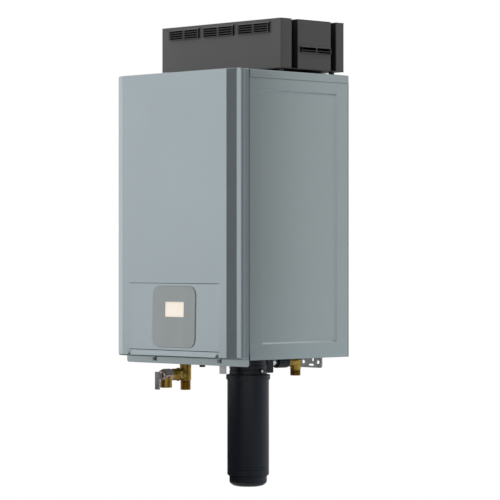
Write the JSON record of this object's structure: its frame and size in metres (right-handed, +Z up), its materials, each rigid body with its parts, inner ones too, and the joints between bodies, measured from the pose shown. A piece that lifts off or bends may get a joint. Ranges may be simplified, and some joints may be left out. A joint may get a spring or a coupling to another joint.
{
  "type": "tankless water heater",
  "caption": "Wall-hung outdoor tankless water heater: cabinet with a control panel, a louvred vent hood on top, and a treatment cartridge, water pipes and a relief valve below.",
  "frame": {"origin": "centre of the upper wall bracket's flange, on the wall", "axes": "+Z up and +Y into the wall, so the control panel faces -Y, and +X is on the right seen from the room, where the cartridge hangs"},
  "size_m": [0.453, 0.3979, 1.151],
  "materials": {
    "case_paint": "satin",
    "cover_paint": "satin",
    "hood_paint": "satin",
    "zinc": "satin",
    "bracket_zinc": "satin",
    "bezel_plastic": "satin",
    "display_glass": "gloss",
    "board_green": "satin",
    "foam": "matte",
    "brass": "satin",
    "copper": "satin",
    "stainless": "satin",
    "steel": "satin",
    "black_plastic": "satin",
    "grey_plastic": "satin",
    "rubber": "matte",
    "ceramic": "satin",
    "cast_alloy": "satin"
  },
  "bodies": {
    "cabinet": {"case_side_left": "case_paint", "case_side_right": "case_paint", "case_back": "case_paint", "top_lid": "case_paint", "bottom_pan": "case_paint", "wall_bracket_upper": "bracket_zinc", "wall_bracket_lower": "bracket_zinc", "front_cover": "cover_paint", "cover_gasket": "foam", "cover_screw_left": "steel", "cover_screw_right": "steel", "control_bezel": "bezel_plastic", "display_window": "display_glass", "display_board": "board_green", "hood_front": "hood_paint", "hood_back": "hood_paint", "hood_deflector_left": "hood_paint", "hood_deflector_right": "hood_paint", "hood_core": "hood_paint", "hood_roof": "hood_paint", "hood_base": "hood_paint", "flue_pipe": "stainless", "secondary_heat_exchanger": "stainless", "primary_heat_exchanger": "copper", "burner_box": "zinc", "burner": "stainless", "igniter": "ceramic", "flame_rod": "ceramic", "blower_housing": "cast_alloy", "blower_motor": "steel", "gas_air_mixer": "cast_alloy", "gas_valve": "cast_alloy", "gas_pipe": "steel", "gas_inlet_nipple": "brass", "inlet_elbow": "brass", "coupling_nut": "black_plastic", "inlet_tailpiece": "stainless", "cartridge_head": "black_plastic", "head_bracket": "zinc", "inlet_pipe": "brass", "flow_sensor": "grey_plastic", "flow_control_valve": "grey_plastic", "riser_pipe": "copper", "link_pipe": "copper", "hot_outlet_pipe": "copper", "outlet_tee": "brass", "relief_valve_body": "brass", "condensate_trap": "grey_plastic", "condensate_drain": "black_plastic", "control_box": "grey_plastic", "junction_box": "zinc", "spark_transformer": "black_plastic"},
    "blower_wheel": {"blower_impeller": "black_plastic"},
    "turbine": {"flow_turbine": "ceramic"},
    "spool": {"flow_control_spool": "ceramic"},
    "gas_plunger": {"gas_valve_plunger": "steel"},
    "valve_stem": {"relief_stem": "steel"},
    "valve_lever": {"relief_lever": "stainless"},
    "treatment_cartridge": {"cartridge": "black_plastic", "cartridge_o_ring": "rubber"}
  },
  "joints": [
    {"name": "blower_spin", "type": "hinge", "parent": "cabinet", "child": "blower_wheel", "pos_m": [-0.042, -0.16, -0.5306], "axis": [0, 1, 0], "continuous": true},
    {"name": "flow_turbine_spin", "type": "hinge", "parent": "cabinet", "child": "turbine", "pos_m": [0.12, -0.255, -0.643], "axis": [0, 0, 1], "continuous": true},
    {"name": "flow_control_turn", "type": "hinge", "parent": "cabinet", "child": "spool", "pos_m": [0.12, -0.255, -0.5817], "axis": [0, 1, 0], "range_deg": [0, 90]},
    {"name": "gas_valve_lift", "type": "slide", "parent": "cabinet", "child": "gas_plunger", "axis": [0, 1, 0], "range_m": [0, 0.003], "stiffness_N_per_m": 600},
    {"name": "stem_lift", "type": "slide", "parent": "cabinet", "child": "valve_stem", "axis": [0, -1, 0], "range_m": [0, 0.003], "stiffness_N_per_m": 2000},
    {"name": "lever_turn", "type": "hinge", "parent": "valve_stem", "child": "valve_lever", "pos_m": [-0.11, -0.344, -0.7695], "axis": [-1, 0, 0], "range_deg": [0, 90]},
    {"name": "cartridge_twist", "type": "hinge", "parent": "cabinet", "child": "treatment_cartridge", "pos_m": [0.12, -0.255, -0.7625], "axis": [0, 0, 1], "range_deg": [0, 50]}
  ],
  "couplings": [
    {"joint": "stem_lift", "follows": "lever_turn", "m_per_rad": 0.0019}
  ]
}
